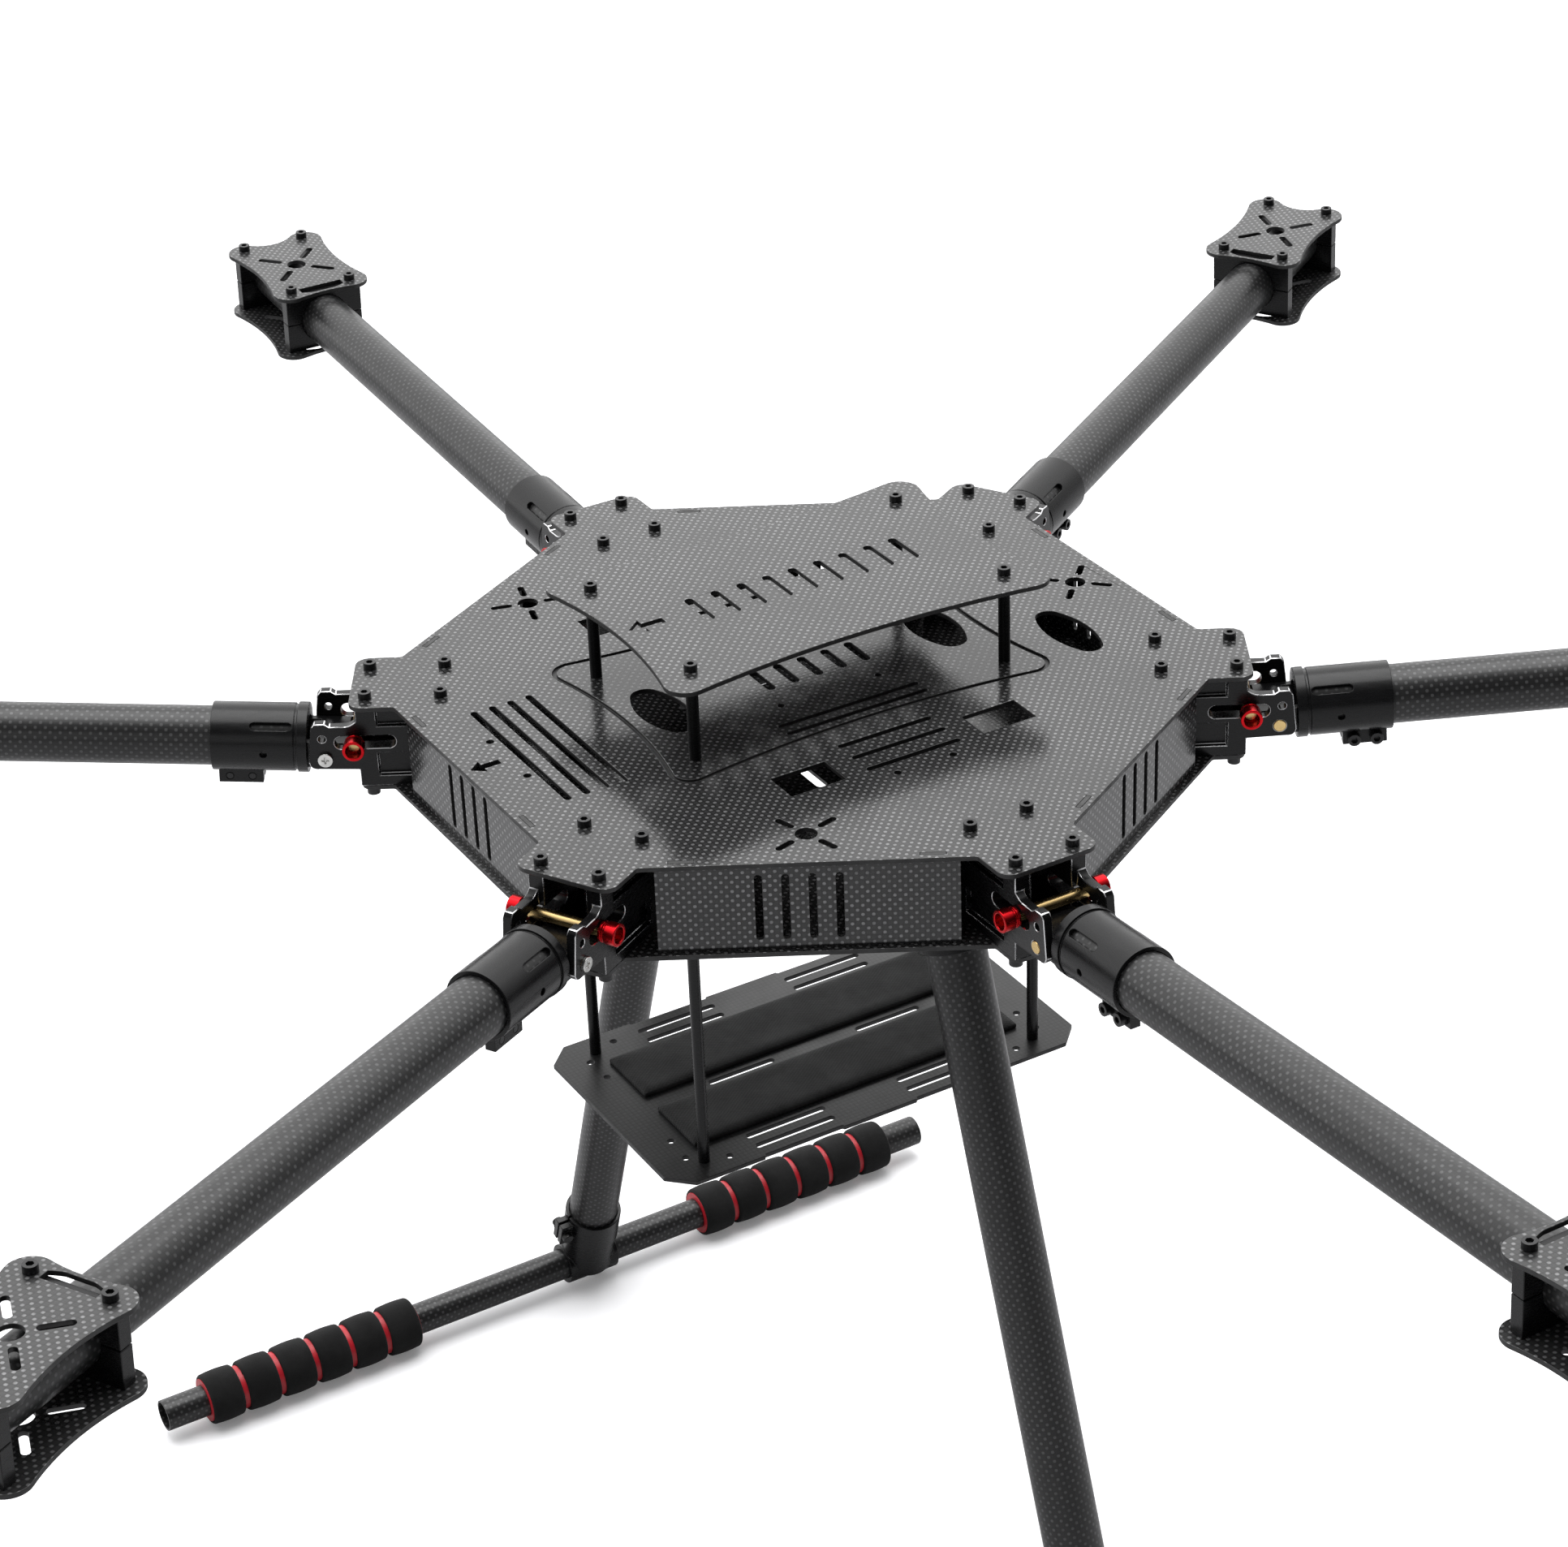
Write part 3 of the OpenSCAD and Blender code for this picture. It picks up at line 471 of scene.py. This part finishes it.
GRIP_RINGS = 6
RING_STEPS = 96        # points round a ring
RING_GROOVE = 0.0026   # gap between two rings
RING_CORNER = 0.0016   # radius of a ring's shoulder
RING_CHAMFER = 0.0003  # small step beside a ring's bore
CROWN = 0.0004         # how far a ring's middle stands out
CORNER_STEPS = 6
FACE_STEPS = 8
SLEEVE_GAP = 0.00005   # between a ring's bore and its sleeve
FLOOR_GAP = 0.00012    # left under a ring for its unevenness


def mesh_object(name, bm, material):
    """Smooth shaded object made from bm, which is freed."""
    mesh = bpy.data.meshes.new(name)
    bm.normal_update()
    bm.to_mesh(mesh)
    bm.free()
    obj = bpy.data.objects.new(name, mesh)
    bpy.context.scene.collection.objects.link(obj)
    mesh.materials.append(material)
    mesh.polygons.foreach_set("use_smooth", [True] * len(mesh.polygons))
    return obj


def revolve_y(bm, profile, centre, seed):
    """Closed ring: the (y, r) profile turned about the Y axis through centre, gently uneven."""
    rings = []
    for k in range(RING_STEPS):
        a = 2 * math.pi * k / RING_STEPS
        wave = 1 + 0.004 * math.sin(3 * a + seed) + 0.003 * math.sin(5 * a + 2.3 * seed)
        ring = []
        for y, r, soft in profile:
            radius = r * (1 + (wave - 1) * soft)
            ring.append(bm.verts.new((centre[0] + radius * math.cos(a), centre[1] + y,
                                      centre[2] + radius * math.sin(a))))
        rings.append(ring)
    count = len(profile)
    for k in range(RING_STEPS):
        a, b = rings[k], rings[(k + 1) % RING_STEPS]
        for m in range(count):
            n = (m + 1) % count
            bm.faces.new((a[m], a[n], b[n], b[m]))


def ring_profile(half, inner, outer):
    """Section of one foam ring as (y, r, unevenness): bore, round shoulders, crowned face."""
    chamfer = RING_CORNER * 0.4
    low = outer - RING_CORNER - CROWN
    shoulder = []
    for k in range(CORNER_STEPS + 1):
        a = math.pi / 2 * k / CORNER_STEPS
        shoulder.append((-half + RING_CORNER * (1 - math.cos(a)), low + RING_CORNER * math.sin(a), 1.0))
    face = []
    for k in range(1, FACE_STEPS):
        t = k / FACE_STEPS
        y = (-half + RING_CORNER) + (2 * half - 2 * RING_CORNER) * t
        face.append((y, outer - CROWN + CROWN * math.sin(math.pi * t), 1.0))
    return ([(half - chamfer, inner, 0.0), (-half + chamfer, inner, 0.0),
             (-half, inner + RING_CHAMFER, 0.2)]
            + shoulder + face + [(-y, r, soft) for y, r, soft in reversed(shoulder)]
            + [(half, inner + RING_CHAMFER, 0.2)])


def grip(name, side, low_y, high_y):
    """One foam grip of six rings on its sleeve."""
    bm = bmesh.new()
    pitch = (high_y - low_y + RING_GROOVE) / GRIP_RINGS
    half = (pitch - RING_GROOVE) / 2
    profile = ring_profile(half, SLEEVE_R + SLEEVE_GAP, GRIP_R - FLOOR_GAP)
    for k in range(GRIP_RINGS):
        centre = (side * SKID_X, low_y + half + k * pitch, SKID_Z)
        revolve_y(bm, profile, centre, seed=1.7 * k + side + 10 * low_y)
    return mesh_object(name, bm, FOAM)


foam_y = sorted(v.co.y for v in nodes["skid_grip_foam"].data.vertices)
middle = (foam_y[0] + foam_y[-1]) / 2
front_end = max(y for y in foam_y if y < middle)
rear_end = min(y for y in foam_y if y > middle)
for side, word in SIDES:
    for end, low_y, high_y in (("front", foam_y[0], front_end), ("rear", rear_end, foam_y[-1])):
        piece = grip(f"foam_grip_{word}_{end}", side, low_y, high_y)
        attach(piece, "hub")
        if (word, end) == ("left", "front"):
            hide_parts("skid_grip_foam")


PAD_CELLS = (14, 64)    # cells across and along a pad
PAD_RIM = 0.003         # width of the soft rim
PAD_RIM_LOW = 0.72      # height of the rim's foot, as a share of the pad's
PAD_SWELL = 0.00012     # unevenness of the face
PAD_DIP = 0.0002        # how far the face stays under the CAD pad's top


def pad(name, low, high):
    """Thin pad with soft rounded edges and a faintly uneven face."""
    bm = bmesh.new()
    across, along = PAD_CELLS
    size = high - low
    grid = {}
    for top in (0, 1):
        for a in range(across + 1):
            for b in range(along + 1):
                u, v = a / across, b / along
                rim = min(min(u, 1 - u) * size.x, min(v, 1 - v) * size.y)
                soft = min(1.0, rim / PAD_RIM)
                rise = PAD_RIM_LOW + (1 - PAD_RIM_LOW) * math.sin(soft * math.pi / 2)
                swell = PAD_SWELL * math.sin(9 * u + 2) * math.sin(23 * v + 1)
                z = low.z if top == 0 else low.z + size.z * rise - PAD_DIP + swell * soft
                grid[top, a, b] = bm.verts.new((low.x + u * size.x, low.y + v * size.y, z))

    def quad(*keys):
        bm.faces.new([grid[key] for key in keys])

    for a in range(across):
        for b in range(along):
            quad((0, a, b), (0, a, b + 1), (0, a + 1, b + 1), (0, a + 1, b))
            quad((1, a, b), (1, a + 1, b), (1, a + 1, b + 1), (1, a, b + 1))
    for a in range(across):
        quad((0, a, 0), (0, a + 1, 0), (1, a + 1, 0), (1, a, 0))
        quad((0, a + 1, along), (0, a, along), (1, a, along), (1, a + 1, along))
    for b in range(along):
        quad((0, 0, b + 1), (0, 0, b), (1, 0, b), (1, 0, b + 1))
        quad((0, across, b), (0, across, b + 1), (1, across, b + 1), (1, across, b))
    obj = mesh_object(name, bm, PAD)
    edge = obj.modifiers.new("soft_edges", "BEVEL")
    edge.width = 0.0006
    edge.segments = 3
    edge.limit_method = "ANGLE"
    edge.angle_limit = math.radians(40)
    return obj


pad_x = sorted({round(abs(v.co.x), 5) for v in nodes["battery_pads"].data.vertices})
PAD_IN, PAD_OUT = pad_x[0], pad_x[-1]
for side, word in SIDES:
    x_low, x_high = sorted((side * PAD_IN, side * PAD_OUT))
    low = Vector((x_low, PAD_LOW.y, PAD_LOW.z))
    high = Vector((x_high, PAD_HIGH.y, PAD_HIGH.z))
    piece = pad(f"battery_pad_{word}", low, high)
    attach(piece, "hub")
    if side < 0:
        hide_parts("battery_pads")


# ---- floor, light and camera ----

FLOOR_SIZE = 30
FLOOR_BOUNCE = (0.50, 0.54)    # tone that lights the object from below
FLOOR_SEEN = 0.94              # tone for the camera
FLOOR_GLOW = 0.14              # lifts the open floor to white and leaves the contact shadow


def floor():
    """White floor for the camera, a mid grey one for the light that it sends back up."""
    bm = bmesh.new()
    bmesh.ops.create_grid(bm, x_segments=1, y_segments=1, size=FLOOR_SIZE)
    tree = Tree("floor")
    tone = tree.ramp(tree.noise(tree.place(), 3.0), 0.3, 0.7)
    bounce = tree.mix(tone, *(grey(level) for level in FLOOR_BOUNCE))
    path = tree.nodes.new("ShaderNodeLightPath")
    seen = path.outputs["Is Camera Ray"]
    tree.shade(Base_Color=tree.mix(seen, bounce, grey(FLOOR_SEEN)), Roughness=0.8)
    glow = tree.math("MULTIPLY", seen, FLOOR_GLOW)
    tree.shade(Emission_Color=(1, 1, 1, 1), Emission_Strength=glow)
    obj = mesh_object("floor", bm, tree.mat)


# light from the dome: share of the way from its dark end to its bright one, and level there
DOME = ((0.0, 0.04), (0.36, 0.07), (0.58, 0.75), (0.74, 1.95), (1.0, 1.95))
DOME_PEAK = 1.95
BRIGHT_SIDE = (-0.89, 0.19, 0.41)
WHITE = 1.05            # backdrop's level for the camera


def world():
    """White to the camera; for light, a studio dome, bright behind the object and dark in front."""
    w = bpy.data.worlds.new("studio")
    bpy.context.scene.world = w
    w.use_nodes = True
    tree = w.node_tree
    tree.nodes.clear()
    out = tree.nodes.new("ShaderNodeOutputWorld")
    coords = tree.nodes.new("ShaderNodeTexCoord")
    toward = tree.nodes.new("ShaderNodeVectorMath")
    toward.operation = "DOT_PRODUCT"
    toward.inputs[1].default_value = BRIGHT_SIDE
    tree.links.new(coords.outputs["Generated"], toward.inputs[0])
    scale = tree.nodes.new("ShaderNodeMapRange")
    scale.inputs["From Min"].default_value = -1.0
    tree.links.new(toward.outputs["Value"], scale.inputs["Value"])
    ramp = tree.nodes.new("ShaderNodeValToRGB")
    stops = ramp.color_ramp.elements
    while len(stops) < len(DOME):
        stops.new(0.5)
    for stop, (position, level) in zip(stops, DOME):
        stop.position = position
        stop.color = (level / DOME_PEAK, level / DOME_PEAK, level / DOME_PEAK, 1)
    tree.links.new(scale.outputs[0], ramp.inputs[0])
    dome = tree.nodes.new("ShaderNodeBackground")
    tree.links.new(ramp.outputs[0], dome.inputs[0])
    dome.inputs[1].default_value = DOME_PEAK
    seen = tree.nodes.new("ShaderNodeBackground")
    seen.inputs[0].default_value = (1, 1, 1, 1)
    seen.inputs[1].default_value = WHITE
    path = tree.nodes.new("ShaderNodeLightPath")
    mix = tree.nodes.new("ShaderNodeMixShader")
    tree.links.new(path.outputs["Is Camera Ray"], mix.inputs[0])
    tree.links.new(dome.outputs[0], mix.inputs[1])
    tree.links.new(seen.outputs[0], mix.inputs[2])
    tree.links.new(mix.outputs[0], out.inputs[0])


def softbox(name, place, aim, size, power):
    """Rectangular area light at place, facing aim."""
    light = bpy.data.lights.new(name, "AREA")
    light.shape = "RECTANGLE"
    light.size, light.size_y = size
    light.energy = power
    obj = bpy.data.objects.new(name, light)
    bpy.context.scene.collection.objects.link(obj)
    obj.location = place
    obj.rotation_euler = (Vector(aim) - Vector(place)).to_track_quat("-Z", "Y").to_euler()


CENTRE = (0, 0, 0.45)
floor()
world()
softbox("top", (-0.5, 0.2, 3.4), CENTRE, (2.6, 2.6), 75)
softbox("front_right", (2.4, -2.6, 1.6), CENTRE, (1.6, 1.6), 8)

CAM_TARGET = Vector((0.08869, -0.03903, 0.480))
CAM_AZIMUTH, CAM_ELEVATION, CAM_ROLL = (math.radians(a) for a in (59.58, 29.97, -1.81))
CAM_DISTANCE = 1.4568
CAM_LENS, CAM_SENSOR = 85.17, 36.0
CAM_SHIFT = (-0.0300, 0.0016)


def camera():
    """Camera that looks at the target from its azimuth and elevation, rolled about its own axis."""
    back = Vector((math.sin(CAM_AZIMUTH) * math.cos(CAM_ELEVATION),
                   -math.cos(CAM_AZIMUTH) * math.cos(CAM_ELEVATION), math.sin(CAM_ELEVATION)))
    right = Vector((math.cos(CAM_AZIMUTH), math.sin(CAM_AZIMUTH), 0))
    up = back.cross(right)
    turn = Matrix.Rotation(CAM_ROLL, 3, back)
    right, up = turn @ right, turn @ up
    data = bpy.data.cameras.new("camera")
    data.lens, data.sensor_width = CAM_LENS, CAM_SENSOR
    data.shift_x, data.shift_y = CAM_SHIFT
    obj = bpy.data.objects.new("camera", data)
    bpy.context.scene.collection.objects.link(obj)
    axes = Matrix((right, up, back)).transposed().to_4x4()
    obj.matrix_world = Matrix.Translation(CAM_TARGET + back * CAM_DISTANCE) @ axes
    bpy.context.scene.camera = obj


camera()
bpy.context.scene.view_settings.view_transform = "Standard"
